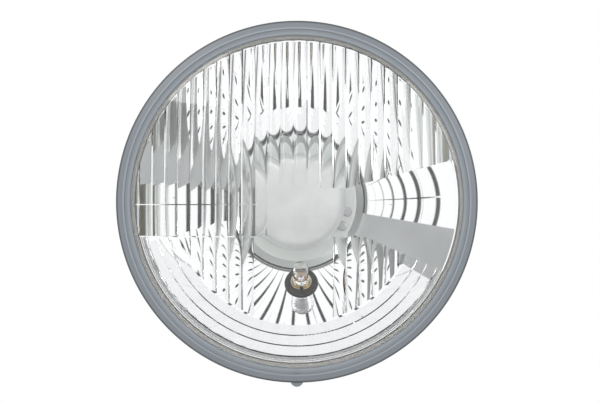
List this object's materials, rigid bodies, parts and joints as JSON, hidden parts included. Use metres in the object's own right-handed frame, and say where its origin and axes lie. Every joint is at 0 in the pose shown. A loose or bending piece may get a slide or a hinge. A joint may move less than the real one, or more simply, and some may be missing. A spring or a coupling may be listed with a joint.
{
  "type": "halogen headlight",
  "caption": "Round 178 mm halogen headlight insert with fluted glass lens, mirror, glare shield, twin-filament bulb and parking lamp.",
  "frame": {"origin": "on the lamp's axis, in the plane of the seal ring's rear face", "axes": "+Y along the lamp's axis to the rear, so that the glass looks towards -Y; +Z to the lamp's top, opposite the index nub"},
  "size_m": [0.178, 0.1078, 0.18],
  "materials": {
    "grey_rubber": "satin moulded",
    "lens_glass": "pressed clear",
    "silicone": "matte",
    "mirror_coat": "vapour coated",
    "shield_sheet": "satin",
    "rivet_steel": "bright",
    "zinc_sheet": "yellow zinc",
    "spring_wire": "drawn",
    "black_rubber": "moulded",
    "bulb_steel": "stamped",
    "bulb_clear": "clear",
    "shield_metal": "satin",
    "tungsten": "wound wire",
    "black_plastic": "moulded",
    "tinned_brass": "tinned",
    "dark_rubber": "matte",
    "cap_brass": "bright",
    "brown_board": "pressed board"
  },
  "bodies": {
    "root": {"seal_ring": "grey_rubber", "lens": "lens_glass", "sealing_bead": "silicone", "reflector": "mirror_coat", "glare_shield": "shield_sheet", "shield_rivets": "rivet_steel", "bulb_carrier": "zinc_sheet", "bulb_clip": "spring_wire", "boot": "black_rubber", "bulb_disc": "bulb_steel", "bulb_cap": "bulb_steel", "bulb_glass": "bulb_clear", "dip_shield": "shield_metal", "low_filament": "tungsten", "high_filament": "tungsten", "bulb_supports": "shield_metal", "bulb_insulator": "black_plastic", "terminal_low": "tinned_brass", "terminal_high": "tinned_brass", "terminal_earth": "tinned_brass", "side_grommet": "dark_rubber", "side_socket": "zinc_sheet", "side_bulb_cap": "cap_brass", "side_bulb_glass": "bulb_clear", "side_filament": "tungsten", "side_contact": "cap_brass", "side_insulator": "brown_board", "side_terminal": "tinned_brass"}
  },
  "joints": []
}
